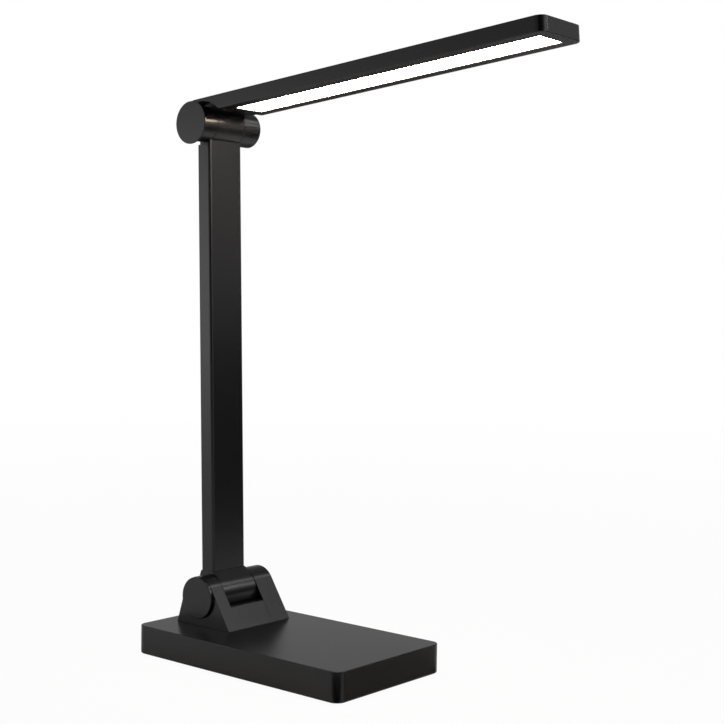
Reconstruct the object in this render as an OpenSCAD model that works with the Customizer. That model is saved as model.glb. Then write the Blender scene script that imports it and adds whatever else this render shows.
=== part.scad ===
// Folding LED desk lamp: a weighted base, a flat upright arm and a bar-shaped light head, joined by two
// friction hinges. The origin is the centre of the anti-slip pad's underside, +Z is up, and the light
// head reaches towards -Y. Both hinge axes run along X. All sizes are in millimetres.

/* [Base] */
// Width of the base, along X
base_width = 95; // [80:1:120]
// Length of the base, along Y
base_length = 170; // [150:1:210]
// Height of the base's top above the desk
base_height = 18.7; // [17.5:0.1:24]
// Radius of the base's upright corners
base_corner = 6.5; // [4:0.5:10]
// Rounding of the base's top edge
base_top_edge = 0.5; // [0.3:0.1:1]
// Rounding of the base's bottom edge
base_bottom_edge = 1.2; // [0.5:0.1:1.6]
// Thickness of the base shell's sides and top
base_wall = 2.4; // [2:0.1:3]
// Thickness of the bottom cover
cover_thickness = 2; // [1.8:0.1:2.5]
// Width of the anti-slip pad
pad_width = 70; // [50:1:72]
// Length of the anti-slip pad
pad_length = 126; // [90:1:130]
// Thickness of the anti-slip pad
pad_thickness = 1.2; // [1:0.1:1.6]
// How far the anti-slip pad stands out of the bottom cover
pad_proud = 0.7; // [0.4:0.1:0.8]

/* [Inside the base] */
// Width of the steel ballast plate
ballast_width = 84; // [60:1:86]
// Length of the steel ballast plate
ballast_length = 124; // [80:1:126]
// Thickness of the steel ballast plate
ballast_thickness = 5; // [3:0.5:5.5]
// Width of the control board
board_width = 60; // [50:1:66]
// Length of the control board
board_length = 62; // [52:1:64]
// Thickness of the circuit boards
board_thickness = 1.6; // [1:0.2:1.6]
// Diameter of the three touch pads
touch_pad_d = 12; // [8:1:14]
// Gap between the control board and the shell's top, filled by the touch pads
touch_gap = 1.5; // [1:0.1:1.6]
// Bore of the power socket
socket_bore_d = 6.2; // [5.9:0.1:6.4]
// Depth of the power socket's bore
socket_depth = 9.5; // [8:0.5:10]
// Diameter of the power socket's centre pin
socket_pin_d = 2.1; // [1.6:0.1:2.5]

/* [Lower hinge] */
// Height of the lower hinge axis above the base's top
low_axis_height = 17.7; // [17:0.1:20]
// Distance from the base's centre back to the lower hinge axis
low_axis_back = 54.8; // [40:0.1:56]
// Distance from the base's centre line right to the middle of both hinges
hinge_middle = 1.5; // [-2:0.1:3]
// Radius of the lower hinge's ears and knuckle
low_hinge_r = 13.4; // [13:0.1:15]
// Thickness of the left ear, without its cap
left_ear = 9.6; // [9:0.1:11]
// Thickness of the right ear with its cover
right_ear = 15.6; // [14.5:0.1:18]
// Slope of the saddle's front, in degrees above the base's top
front_slope = 56.5; // [50:0.1:62]
// Slope of the saddle's back, in degrees above the base's top
back_slope = 72.5; // [66:0.5:78]
// Wall of the saddle and of its side cover
saddle_wall = 2.3; // [2:0.1:2.5]
// Height of the window's sill below the hinge axis
sill_drop = 4.8; // [4.6:0.1:5.4]
// Radius of the round cap on the left ear
low_cap_r = 13.2; // [12:0.1:13.3]
// How far the round cap stands out of the left ear
cap_proud = 2; // [1.8:0.1:3]

/* [Arm] */
// Distance between the two hinge axes, measured along the arm
arm_pitch = 300.2; // [240:0.1:360]
// Width of the arm
arm_width = 28.2; // [27:0.1:32]
// Thickness of the arm
arm_thickness = 11.5; // [11:0.1:12]
// Rounding of the arm's long edges
arm_edge = 1.8; // [1:0.1:2]
// Wall of the arm's shell
arm_wall = 2; // [1.6:0.1:2.2]
// Distance that the arm's middle plane lies behind the lower hinge axis
arm_offset = 2.6; // [2:0.1:3]
// Backward lean of the upright arm, in degrees
arm_lean = 1.5; // [0:0.1:5]
// Length of each knuckle's tongue inside the arm
tongue_length = 26; // [22:1:34]

/* [Upper hinge] */
// Radius of the upper hinge's ears and knuckle
top_hinge_r = 11.2; // [11:0.1:12]
// Width of the arm's upper knuckle
top_knuckle_width = 23; // [22:0.1:24]
// Distance from the middle of the upper hinge to the face of its left disc
top_left_reach = 25; // [24.5:0.1:27]
// Distance from the middle of the upper hinge to its right end
top_right_reach = 26.8; // [25.5:0.1:28]
// Radius of the disc on the left ear
top_disc_r = 13.4; // [12:0.1:14]
// Thickness of the disc on the left ear
top_disc = 0.8; // [0.8:0.1:1.2]
// Thickness of the cap on the right ear
top_cap = 2.2; // [2:0.1:2.6]
// Rounding of the right cap's rim
top_cap_edge = 0.8; // [0.5:0.1:1.2]
// Upward tilt of the light head, in degrees
head_tilt = 4.7; // [0:0.1:10]

/* [Light head] */
// Width of the light head
head_width = 39.3; // [38:0.1:42]
// Thickness of the light head
head_thickness = 9; // [8.8:0.1:10]
// Distance from the upper hinge axis to the free end of the light head
head_reach = 259; // [220:1:275]
// Distance from the upper hinge axis up to the light head's underside
head_rise = 6.2; // [6.2:0.1:6.6]
// Radius of the light head's corners
head_corner = 5; // [3:0.5:6]
// Rounding of the light head's long edges
head_edge = 0.5; // [0.3:0.1:0.8]
// Wall of the light head's housing
head_wall = 2; // [1.8:0.1:2.2]
// Thickness of the bezel
bezel_thickness = 1.7; // [1.5:0.1:1.8]
// Radius of the scalloped relief beside each ear
scallop_r = 22.3; // [21:0.1:23]
// Depth of the scalloped relief from the light head's side
scallop_depth = 5.5; // [3:0.1:5.6]

/* [Light panel] */
// Width of the glowing panel
panel_width = 22.4; // [18:0.1:23]
// Distance from the light head's free end to the panel
panel_inset = 7.4; // [6.5:0.1:12]
// Distance from the upper hinge axis to the panel
panel_start = 27; // [26.5:0.1:40]
// Depth of the panel's face inside the bezel
panel_recess = 0.4; // [0.2:0.1:0.6]
// Spacing of the light-emitting diodes along each strip
led_pitch = 9; // [7:0.5:12]

/* [Hinge hardware] */
// Diameter of the hinge bolts
bolt_d = 6; // [5:0.1:6]
// Width of the bolt heads and nuts across their flats
hex_flats = 10; // [9:0.1:10]
// Height of the bolt heads and nuts
hex_height = 3.2; // [3:0.1:3.2]
// Thickness of one conical spring washer
spring_thickness = 0.5; // [0.4:0.05:0.6]
// Height of one conical spring washer
spring_height = 0.9; // [0.8:0.05:0.9]
// Diameter of the lower hinge's friction washers
low_friction_d = 17; // [15:0.5:17]
// Diameter of the upper hinge's friction washers
top_friction_d = 14; // [13:0.5:14]
// Thickness of the friction washers
friction_thickness = 1.2; // [1:0.1:1.4]
// Thickness of the cheek that each bolt clamps
cheek = 3.6; // [3.2:0.1:3.8]

/* [Clearances] */
// Radial running clearance of each knuckle on its bolt
run_gap = 0.05; // [0.02:0.01:0.1]
// Gap on each side of a knuckle
side_gap = 0.45; // [0.2:0.05:0.5]
// Gap round a knuckle as it turns
swing_gap = 0.3; // [0.2:0.05:0.5]
// Gap between plastic pieces that fit into each other
fit_gap = 0.15; // [0.1:0.05:0.2]
// Forward fold of the arm at its stop, in degrees from its rest
arm_fold_forward = 91.5; // [80:0.5:91.5]
// Backward lean of the arm at its stop, in degrees from its rest
arm_fold_back = 30; // [10:1:35]
// Downward fold of the light head at its stop, in degrees from its rest
head_fold_down = 93; // [80:0.5:93]
// Upward swing of the light head at its stop, in degrees from its rest
head_fold_up = 86; // [40:1:86]

/* [Hidden] */
$fn = 64;

// Fixed gaps: round bolts, pins and screws that stay put, round heads, plugs and clear holes, and
// inside the washers
still_gap = 0.05;
slip_gap = 0.1;
washer_gap = 0.2;

// Colours
satin_black = "#2a2b2d";
deep_black = "#1c1c1e";
rubber_black = "#191919";
bare_steel = "#b4b6b8";
zinc_steel = "#c6c7c2";
board_green = "#1f5a3a";
foam_grey = "#5d5f63";
opal_white = "#fffff0";
clear_acrylic = "#e8f1f4";
foil_white = "#f4f4f2";
raw_aluminium = "#c9cbce";
led_yellow = "#f0dc82";
wire_red = "#8a1f1c";
brass_yellow = "#c9a54c";

// Base, from the desk up
cover_z = pad_proud;
pad_corner = 6;
cover_top_z = cover_z + cover_thickness;
shell_ceiling_z = base_height - base_wall;
inner_width = base_width - 2 * base_wall;
inner_length = base_length - 2 * base_wall;
inner_corner = base_corner - base_wall;
boss_r = 4;
base_screw_x = inner_width / 2 - boss_r - 2;
base_screw_y = inner_length / 2 - boss_r - 2;
base_screw_r = 1.5;
base_screw_head_r = 3;
base_screw_head_h = 1.6;
base_screw_length = 12;
post_r = 3;

// Ballast plate, clear of the power socket's board behind it
ballast_top_z = cover_top_z + ballast_thickness;
ballast_back_y = 56;
ballast_y = ballast_back_y - ballast_length / 2;
ballast_post_r = 3.2;
ballast_screw_r = 1.5;
ballast_screw_head_r = 4.6;
ballast_screw_head_h = 1.6;
ballast_screw_x = 24;
ballast_screw_y = ballast_length / 2 - 14;

// Control board under the front of the base's top
board_y = -base_length / 2 + 20 + board_length / 2;
board_top_z = shell_ceiling_z - touch_gap;
board_z = board_top_z - board_thickness;
board_post_x = board_width / 2 - 5;
board_post_y = board_length / 2 - 5;
board_screw_r = 1.2;
board_screw_head_r = 2.2;
board_screw_head_h = 1.2;
touch_pad_pitch = 18;

// Power socket in the middle of the base's back face
socket_z = cover_z + (base_height - cover_z) / 2;
socket_body = [9, 12, 8.4];
socket_snout_r = socket_bore_d / 2 + 0.8;
socket_back_y = base_length / 2 - base_wall - socket_body[1];
pin_tip_y = base_length / 2 - 1.8;
pin_length = socket_depth + 1.5;
socket_board_size = [24, 20];
socket_board_top_z = socket_z - socket_body[2] / 2;
socket_board_z = socket_board_top_z - board_thickness;
socket_board_y = base_length / 2 - base_wall - 2 - socket_board_size[1] / 2;
socket_post_x = socket_board_size[0] / 2 - 3;

// Lower hinge, along X
low_axis_z = base_height + low_axis_height;
slot_half = arm_width / 2 + side_gap;
slot_left = hinge_middle - slot_half;
slot_right = hinge_middle + slot_half;
saddle_left = slot_left - left_ear;
saddle_right = slot_right + right_ear;
right_cheek_x = slot_right + cheek;
left_cheek_x = slot_left - cheek;
nut_pocket_r = 9.6;
hex_boss_r = 7.6;
low_inner_r = low_hinge_r - saddle_wall;
window_back_drop = 2;
shield = 1.8;
cap_step = 0.2;
cap_step_r = low_cap_r - 1;
plug_wall = 1.3;
wire_hole = [12, 9];
wire_hole_corner = 2;
saddle_screw_r = 1.45;
saddle_screw_head_r = 2.8;
saddle_screw_head_h = 2;
saddle_screw_length = 9;
saddle_boss_r = 3.3;
saddle_boss_h = 9;
// Foot of a saddle profile of radius r on the side whose slope is a, measured from the hinge axis
function foot(r, a) = (r + low_axis_height * cos(a)) / sin(a);
front_foot = foot(low_inner_r, front_slope);
back_foot = foot(low_inner_r, back_slope);
left_screws = [
    [(saddle_left + left_cheek_x) / 2, low_axis_back - nut_pocket_r - 7],
    [(saddle_left + left_cheek_x) / 2, low_axis_back + nut_pocket_r + 1.8]
];
front_screws = [[hinge_middle + 4, low_axis_back - front_foot + saddle_boss_r + 0.4]];
cover_screw_x = saddle_right - saddle_wall - saddle_boss_r + 0.6;
cover_screws = [
    [cover_screw_x, low_axis_back - front_foot + 2.5 * saddle_boss_r],
    [cover_screw_x, low_axis_back + back_foot - 1.9 * saddle_boss_r]
];
all_saddle_screws = concat(left_screws, front_screws, cover_screws);

// Hinge hardware
bolt_r = bolt_d / 2;
bolt_hole_r = bolt_r + run_gap;
hex_r = hex_flats / 2 / cos(30);
hex_hole_r = hex_r + slip_gap;
spring_stack = 2 * spring_height;
bolt_end = 0.5;
friction_recess = friction_thickness - side_gap + 0.1;
spring_r = 6.8;
// Stop lugs on the knuckles' left faces, and the grooves that they run in
low_lug_r = 10.7;
top_lug_r = 8.9;
lug_half = 1;
lug_height = 1.2;
lug_gap = 0.3;
// Where each lug sits at rest, in degrees from straight ahead (-Y) towards the top
low_lug_at = 150;
top_lug_at = 200;

// Arm: drawn upright with the lower hinge axis at the origin, its middle plane at y = arm_offset
arm_half = arm_thickness / 2;
arm_start = low_hinge_r + 2;
top_swing = top_hinge_r + swing_gap;
arm_end = arm_pitch - top_hinge_r - 1.5;
channel_width = arm_width - 2 * arm_wall;
cover_plate = arm_wall;
tongue_thickness = arm_thickness - arm_wall - cover_plate - fit_gap;
tongue_width = channel_width - 2 * fit_gap;
arm_screw_r = 1.25;
arm_screw_head_r = 2.4;
arm_screw_head_h = 1.2;
arm_screw_length = 8;
arm_screw_inset = 9;
arm_screw_x = 6.5;
wire_r = 0.8;
wire_depth = 1.6;
bend_swell = 1.04;
wire_slot = 4.4;
wire_slot_depth = 3.2;
slot_overrun = 1.3;
low_wire_path = [[arm_start + tongue_length, arm_offset + wire_depth], [arm_start, arm_offset + 2.2],
    [0, 8.6], [-low_hinge_r - 1, 4]];
top_wire_path = [[arm_end - tongue_length, wire_depth], [arm_end, 2.2], [arm_pitch + 2, 6.8],
    [arm_pitch + top_hinge_r + 1, 1]];

// Upper hinge, in the arm's own frame and in the room
top_axis_y = low_axis_back + arm_pitch * sin(arm_lean) + arm_offset * cos(arm_lean);
top_axis_z = low_axis_z + arm_pitch * cos(arm_lean) - arm_offset * sin(arm_lean);
top_knuckle_half = top_knuckle_width / 2;
top_slot_half = top_knuckle_half + side_gap;
left_ear_end = top_left_reach - top_disc;
right_ear_end = top_right_reach - top_cap;
top_cheek_x = top_slot_half + cheek;
top_pocket_r = 8.4;

// Light head: drawn with the upper hinge axis at the origin, reaching towards -Y, level
head_top = head_rise + head_thickness;
head_inner_top = head_top - head_wall;
scallop_forward = 3.6;
scallop_drop = head_inner_top - scallop_r;
wrap_back = 6;
cavity_start = scallop_forward + sqrt(pow(scallop_r, 2) - pow(head_rise - scallop_drop, 2)) + 0.8;
cavity_end = head_reach - head_wall;
bezel_top = head_rise + bezel_thickness;
panel_end = head_reach - panel_inset;
panel_length = panel_end - panel_start;
panel_middle = (panel_end + panel_start) / 2;
panel_corner = 0.8;
flange = 1.2;
flange_thickness = 1;
guide_bottom = bezel_top + flange_thickness;
reflector_thickness = 0.5;
spreader_thickness = 1.2;
spreader_bottom = head_inner_top - spreader_thickness;
guide_top = spreader_bottom - reflector_thickness;
guide_width = panel_width + 2 * flange;
guide_length = panel_length + 2 * flange;
led_depth = 1.1;
strip_thickness = 1;
strip_x = guide_width / 2 + 0.1 + led_depth;
led_size = [3.4, 1.8];
led_count = floor((guide_length - led_size[0]) / led_pitch);
bezel_screw_x = 13.2;
bezel_screw_r = 1;
bezel_screw_head_r = 1.9;
bezel_screw_head_h = 0.9;
bezel_boss_r = 2.1;
bezel_screw_s = cavity_start + fit_gap + bezel_screw_head_r + 0.4;
wire_port = [8, 3.6];

// --- Shared shapes ---

// Rectangle w by l with round corners, centred
module rounded_rect(w, l, r) {
    square([w, l - 2 * r], center = true);
    square([w - 2 * r, l], center = true);
    for (sx = [-1, 1], sy = [-1, 1]) translate([sx * (w / 2 - r), sy * (l / 2 - r)]) circle(r);
}

// Upright block with round corners
module rounded_block(w, l, r, z0, z1) {
    translate([0, 0, z0]) linear_extrude(z1 - z0) rounded_rect(w, l, r);
}

// Half of a block's section, from its middle to its side, rounded at the side's top and bottom
module half_section(half, h, top, bottom) {
    square([half - max(top, bottom), h]);
    translate([0, bottom]) square([half, h - top - bottom]);
    translate([0, h - top]) square([half - top, top]);
    square([half - bottom, bottom]);
    translate([half - top, h - top]) circle(top);
    translate([half - bottom, bottom]) circle(bottom);
}

// A whole section, made of a half and its mirror image
module full_section(half, h, top, bottom) {
    half_section(half, h, top, bottom);
    mirror([1, 0]) half_section(half, h, top, bottom);
}

// Block w by l by h on z = 0 with upright corners of radius c and rounded top and bottom edges
module soft_block(w, l, h, c, top, bottom) {
    rotate([90, 0, 0]) linear_extrude(l - 2 * c, center = true) full_section(w / 2, h, top, bottom);
    rotate([90, 0, 90]) linear_extrude(w - 2 * c, center = true) full_section(l / 2, h, top, bottom);
    for (sx = [-1, 1], sy = [-1, 1]) translate([sx * (w / 2 - c), sy * (l / 2 - c), 0])
        rotate_extrude() half_section(c, h, top, bottom);
}

// Draws a (y, z) outline as a solid from x0 to x1
module along_x(x0, x1) {
    translate([x0, 0, 0]) rotate([90, 0, 90]) linear_extrude(x1 - x0) children();
}

// Cylinder along X
module x_cylinder(r, x0, x1) {
    translate([x0, 0, 0]) rotate([0, 90, 0]) cylinder(r = r, h = x1 - x0);
}

// Hexagonal prism along X, its corner radius r
module x_hexagon(r, x0, x1) {
    translate([x0, 0, 0]) rotate([0, 90, 0]) cylinder(r = r, h = x1 - x0, $fn = 6);
}

// Disc along X whose rim is rounded at its x1 end
module x_cap(r, x0, x1, edge) {
    translate([x0, 0, 0]) rotate([0, 90, 0]) rotate_extrude() {
        square([r, abs(x1 - x0) - edge]);
        square([r - edge, abs(x1 - x0)]);
        translate([r - edge, abs(x1 - x0) - edge]) circle(edge);
    }
}

// Puts what is drawn round the lower hinge axis into place; x stays the lamp's own
module at_low_axis() {
    translate([0, low_axis_back, low_axis_z]) children();
}

// Puts what is drawn along the upright arm into place
module at_arm() {
    translate([hinge_middle, low_axis_back, low_axis_z]) rotate([-arm_lean, 0, 0]) children();
}

// Puts what is drawn as a level light head into place
module at_head() {
    translate([hinge_middle, top_axis_y, top_axis_z]) rotate([-head_tilt, 0, 0]) children();
}

// Cross recess cut into a screw's head, whose top is at z = 0 and which lies below it
module cross_recess(r, depth) {
    for (a = [0, 90]) rotate([0, 0, a]) translate([-r, -r / 5, -depth]) cube([2 * r, r / 2.5, depth + 1]);
}

// Pan-head screw that points up: its head bears at z = 0 and its shank rises from there
module pan_screw(shank_r, length, head_r, head_h) {
    difference() {
        union() {
            cylinder(r = shank_r, h = length);
            translate([0, 0, -head_h]) cylinder(r = head_r, h = head_h);
        }
        translate([0, 0, -head_h]) mirror([0, 0, 1]) cross_recess(head_r * 0.6, head_h * 0.45);
    }
}

// Countersunk screw that points up: its flat head's face is at z = 0
module flat_screw(shank_r, length, head_r, head_h) {
    difference() {
        union() {
            cylinder(r1 = head_r, r2 = shank_r, h = head_h);
            cylinder(r = shank_r, h = length);
        }
        mirror([0, 0, 1]) cross_recess(head_r * 0.6, head_h * 0.5);
    }
}

// Hole for a countersunk screw, a little larger than the screw
module flat_screw_hole(shank_r, length, head_r, head_h) {
    spare = 0.01;
    translate([0, 0, -spare]) cylinder(r1 = head_r + slip_gap + spare, r2 = shank_r + slip_gap,
        h = head_h + slip_gap + spare);
    translate([0, 0, -1]) cylinder(r = shank_r + slip_gap, h = length + 1);
}

// Round wire through a list of points, a little fatter at each bend
module wire(points, r) {
    $fn = 24;
    for (i = [0 : len(points) - 2]) {
        run = points[i + 1] - points[i];
        length = norm(run);
        translate(points[i]) rotate([0, acos(run[2] / length), atan2(run[1], run[0])]) {
            cylinder(r = r, h = length);
            if (i > 0) rotate([0, 0, 40]) sphere(r * bend_swell);
        }
    }
}

// Wire slot along a path of [height, depth] pairs in an arm's middle plane
module wire_slot_along(path) {
    along_x(-wire_slot / 2, wire_slot / 2) for (i = [0 : len(path) - 2]) {
        rise = path[i + 1][0] - path[i][0];
        shift = path[i + 1][1] - path[i][1];
        translate([path[i][1], path[i][0]]) rotate(-atan2(shift, rise))
            translate([-wire_slot_depth / 2, -slot_overrun])
                square([wire_slot_depth, norm([rise, shift]) + 2 * slot_overrun]);
    }
}

// --- Hinge hardware, drawn round an axis along X ---

// Bolt whose head's inner face is at head_x and whose end is at end_x, to its left
module hinge_bolt(end_x, head_x) {
    x_cylinder(bolt_r, end_x, head_x + hex_height / 2);
    x_hexagon(hex_r, head_x, head_x + hex_height);
}

// Nut whose inner face is at x, to the left of it
module hinge_nut(x) {
    difference() {
        x_hexagon(hex_r, x - hex_height, x);
        x_cylinder(bolt_hole_r, x - hex_height - 1, x + 1);
    }
}

// Two conical spring washers back to back, to the left of x
module spring_pair(x) {
    inner = bolt_r + washer_gap;
    cone = spring_height - spring_thickness;
    translate([x, 0, 0]) rotate([0, -90, 0]) rotate_extrude()
        polygon([[inner, cone], [spring_r, 0], [spring_r, spring_thickness], [inner, spring_height]]);
    translate([x - spring_height, 0, 0]) rotate([0, -90, 0]) rotate_extrude()
        polygon([[inner, 0], [spring_r, cone], [spring_r, spring_height], [inner, spring_thickness]]);
}

// Friction washer of radius r from x0 to x1
module friction_washer(r, x0, x1) {
    difference() {
        x_cylinder(r, x0, x1);
        x_cylinder(bolt_r + washer_gap, x0 - 1, x1 + 1);
    }
}

// Bore of a knuckle that is half wide to each side, and recesses for washers of radius r
module knuckle_holes(half, r) {
    x_cylinder(bolt_hole_r, -half - 1, half + 1);
    x_cylinder(r + swing_gap, -half - 1, -half + friction_recess);
    x_cylinder(r + swing_gap, half - friction_recess, half + 1);
}

// Stop lug at radius r on a knuckle's left face, at angle a from straight ahead (-Y) towards the top
module stop_lug(half, r, a) {
    rotate([-a, 0, 0]) translate([-half - lug_height, -r - lug_half, -lug_half])
        cube([lug_height + 1, 2 * lug_half, 2 * lug_half]);
}

// Groove in the cheek at x for a stop lug at radius r, at angle a at rest, from a - down to a + up
module stop_groove(x, r, a, down, up) {
    spare = asin(lug_half / r) + 1.5;
    translate([x, 0, 0]) rotate([0, -90, 0]) rotate([0, 0, a - 90 - down - spare])
        rotate_extrude(angle = down + up + 2 * spare)
            translate([r - lug_half - lug_gap, -1])
                square([2 * (lug_half + lug_gap), lug_height - side_gap + lug_gap + 1]);
}

// --- Base ---

module base_top_shell() {
    color(satin_black) difference() {
        union() {
            difference() {
                translate([0, 0, cover_z])
                    soft_block(base_width, base_length, base_height - cover_z, base_corner,
                        base_top_edge, base_bottom_edge);
                rounded_block(inner_width, inner_length, inner_corner, cover_z - 1, shell_ceiling_z);
            }
            // bosses for the cover's screws, and posts for the control board
            for (sx = [-1, 1], sy = [-1, 1]) {
                translate([sx * base_screw_x, sy * base_screw_y, cover_top_z])
                    cylinder(r = boss_r, h = shell_ceiling_z - cover_top_z + 1);
                translate([sx * board_post_x, board_y + sy * board_post_y, board_top_z])
                    cylinder(r = post_r, h = touch_gap + 1);
            }
        }
        for (sx = [-1, 1], sy = [-1, 1]) {
            translate([sx * base_screw_x, sy * base_screw_y, cover_z - 1])
                cylinder(r = base_screw_r + still_gap, h = base_screw_length + 1.5);
            translate([sx * board_post_x, board_y + sy * board_post_y, board_top_z - 1])
                cylinder(r = board_screw_r + still_gap, h = touch_gap + 2);
        }
        for (p = all_saddle_screws) translate([p[0], p[1], shell_ceiling_z - 1])
            cylinder(r = saddle_screw_r + slip_gap, h = base_wall + 2);
        translate([hinge_middle, low_axis_back, shell_ceiling_z - 1])
            linear_extrude(base_wall + 2) rounded_rect(wire_hole[0], wire_hole[1], wire_hole_corner);
        translate([0, base_length / 2 + 1, socket_z]) rotate([90, 0, 0])
            cylinder(r = socket_snout_r + slip_gap, h = base_wall + 2);
    }
}

module base_bottom_cover() {
    color(deep_black) difference() {
        union() {
            rounded_block(inner_width - 2 * fit_gap, inner_length - 2 * fit_gap,
                inner_corner - fit_gap, cover_z, cover_top_z);
            for (sy = [-1, 1]) translate([sy * ballast_screw_x, ballast_y + sy * ballast_screw_y, cover_z])
                cylinder(r = ballast_post_r, h = ballast_top_z - cover_z - 0.2);
            for (sx = [-1, 1]) translate([sx * socket_post_x, socket_board_y, cover_z])
                cylinder(r = 2.4, h = socket_board_z - cover_z);
        }
        rounded_block(pad_width + 2 * fit_gap, pad_length + 2 * fit_gap, pad_corner + fit_gap, -1,
            pad_thickness);
        for (sx = [-1, 1], sy = [-1, 1]) translate([sx * base_screw_x, sy * base_screw_y, cover_z])
            flat_screw_hole(base_screw_r, cover_thickness + 1, base_screw_head_r, base_screw_head_h);
        for (sy = [-1, 1])
            translate([sy * ballast_screw_x, ballast_y + sy * ballast_screw_y, pad_thickness + 0.6])
                cylinder(r = ballast_screw_r + still_gap, h = ballast_top_z);
        for (sx = [-1, 1]) translate([sx * socket_post_x, socket_board_y, cover_top_z - 0.6])
            cylinder(r = board_screw_r + still_gap, h = socket_board_z);
    }
}

module base_screws() {
    color(zinc_steel) for (sx = [-1, 1], sy = [-1, 1])
        translate([sx * base_screw_x, sy * base_screw_y, cover_z])
            flat_screw(base_screw_r, base_screw_length, base_screw_head_r, base_screw_head_h);
}

module anti_slip_pad() {
    color(rubber_black) rounded_block(pad_width, pad_length, pad_corner, 0, pad_thickness);
}

module ballast_plate() {
    color(bare_steel) difference() {
        translate([0, ballast_y, 0])
            rounded_block(ballast_width, ballast_length, 5, cover_top_z, ballast_top_z);
        for (sy = [-1, 1])
            translate([sy * ballast_screw_x, ballast_y + sy * ballast_screw_y, cover_top_z - 1])
                cylinder(r = ballast_post_r + fit_gap, h = ballast_thickness + 2);
        for (sx = [-1, 1]) translate([sx * base_screw_x, -base_screw_y, cover_top_z - 1])
            cylinder(r = boss_r + 1, h = ballast_thickness + 2);
    }
}

module ballast_screws() {
    color(zinc_steel) for (sy = [-1, 1])
        translate([sy * ballast_screw_x, ballast_y + sy * ballast_screw_y, ballast_top_z]) mirror([0, 0, 1])
            pan_screw(ballast_screw_r, ballast_thickness - 0.4, ballast_screw_head_r, ballast_screw_head_h);
}

module control_board() {
    color(board_green) difference() {
        translate([0, board_y, 0])
            rounded_block(board_width, board_length, 2, board_z, board_top_z);
        for (sx = [-1, 1], sy = [-1, 1])
            translate([sx * board_post_x, board_y + sy * board_post_y, board_z - 1])
                cylinder(r = board_screw_r + slip_gap, h = board_thickness + 2);
    }
}

// Power coil, controller, driver, capacitor and two wire sockets under the control board
module board_components() {
    color("#3a3a3c") translate([0, board_y, board_z]) mirror([0, 0, 1]) {
        translate([-14, 14, 0]) linear_extrude(4) rounded_rect(8, 8, 2);
        translate([6, 12, 0]) linear_extrude(1.4) square([7, 7], center = true);
        translate([-10, -8, 0]) linear_extrude(1.6) square([5, 4.2], center = true);
        translate([12, -12, 0]) linear_extrude(1.8) square([6, 4], center = true);
        translate([18, 4, 2.4]) rotate([90, 0, 0]) cylinder(r = 2.4, h = 8, center = true);
        for (x = [-6, 6]) translate([x, board_length / 2 - 5, 0]) linear_extrude(4)
            square([7, 5], center = true);
    }
}

module board_screws() {
    color(zinc_steel) {
        for (sx = [-1, 1], sy = [-1, 1])
            translate([sx * board_post_x, board_y + sy * board_post_y, board_z])
                pan_screw(board_screw_r, board_thickness + touch_gap - 0.1, board_screw_head_r,
                    board_screw_head_h);
        for (sx = [-1, 1]) translate([sx * socket_post_x, socket_board_y, socket_board_top_z])
            mirror([0, 0, 1]) pan_screw(board_screw_r, board_thickness + 1.2, board_screw_head_r,
                board_screw_head_h);
    }
}

module touch_pads() {
    color(foam_grey) for (i = [-1, 0, 1]) translate([i * touch_pad_pitch, board_y - 12, board_top_z])
        cylinder(d = touch_pad_d, h = touch_gap);
}

module power_socket() {
    color(deep_black) difference() {
        union() {
            translate([-socket_body[0] / 2, socket_back_y, socket_z - socket_body[2] / 2])
                cube(socket_body);
            translate([0, base_length / 2 - 0.3, socket_z]) rotate([90, 0, 0])
                cylinder(r = socket_snout_r, h = base_wall);
        }
        translate([0, base_length / 2 + 1, socket_z]) rotate([90, 0, 0])
            cylinder(d = socket_bore_d, h = socket_depth + 1.3);
        translate([0, pin_tip_y, socket_z]) rotate([90, 0, 0])
            cylinder(r = socket_pin_d / 2 + still_gap, h = pin_length);
    }
}

module socket_pin() {
    color(brass_yellow) translate([0, pin_tip_y, socket_z]) rotate([90, 0, 0])
        cylinder(d = socket_pin_d, h = pin_length);
}

module socket_board() {
    color(board_green) difference() {
        translate([0, socket_board_y, 0]) rounded_block(socket_board_size[0], socket_board_size[1],
            1, socket_board_z, socket_board_top_z);
        for (sx = [-1, 1]) translate([sx * socket_post_x, socket_board_y, socket_board_z - 1])
            cylinder(r = board_screw_r + slip_gap, h = board_thickness + 2);
    }
}

// Power pair from the socket's board to the control board, and lamp pair from there to the hinge
module base_wires() {
    front_y = board_y + board_length / 2 - 5;
    run_z = board_z - 2;
    low_z = ballast_top_z + 1.5;
    color(wire_red) for (side = [-1, 1]) {
        wire([[-6 + side, socket_board_y - 3, socket_board_top_z + wire_r],
            [-8 + side, ballast_back_y + 1, low_z], [-6 + side, front_y + 10, low_z],
            [-6 + side, front_y + 5, run_z], [-6 + side, front_y + 2.5, run_z]], wire_r);
        wire([[6 + side, front_y + 2.5, run_z], [6 + side, front_y + 5, run_z],
            [6 + side, front_y + 10, low_z], [hinge_middle + side, low_axis_back - 6, low_z],
            [hinge_middle + side, low_axis_back, low_z + 3],
            [hinge_middle + side, low_axis_back, low_axis_z - low_hinge_r - 2]], wire_r);
    }
}

// --- Lower hinge ---

// Side view of the saddle round the hinge axis: a circle with a tangent slope down to each foot
module saddle_outline(r) {
    circle(r);
    polygon([
        [-r * sin(front_slope), r * cos(front_slope)], [-foot(r, front_slope), -low_axis_height],
        [foot(r, back_slope), -low_axis_height], [r * sin(back_slope), r * cos(back_slope)]
    ]);
}

// Bosses for the screws at the given places, up from the base's top
module saddle_bosses(places) {
    for (p = places) translate([p[0], p[1] - low_axis_back, -low_axis_height])
        cylinder(r = saddle_boss_r, h = saddle_boss_h);
}

// Where a line from p touches a circle of radius r round the origin, on its left if side is 1
function touch(p, r, side) = [
    r * cos(atan2(p[1], p[0]) + side * acos(r / norm(p))),
    r * sin(atan2(p[1], p[0]) + side * acos(r / norm(p)))
];

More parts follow.
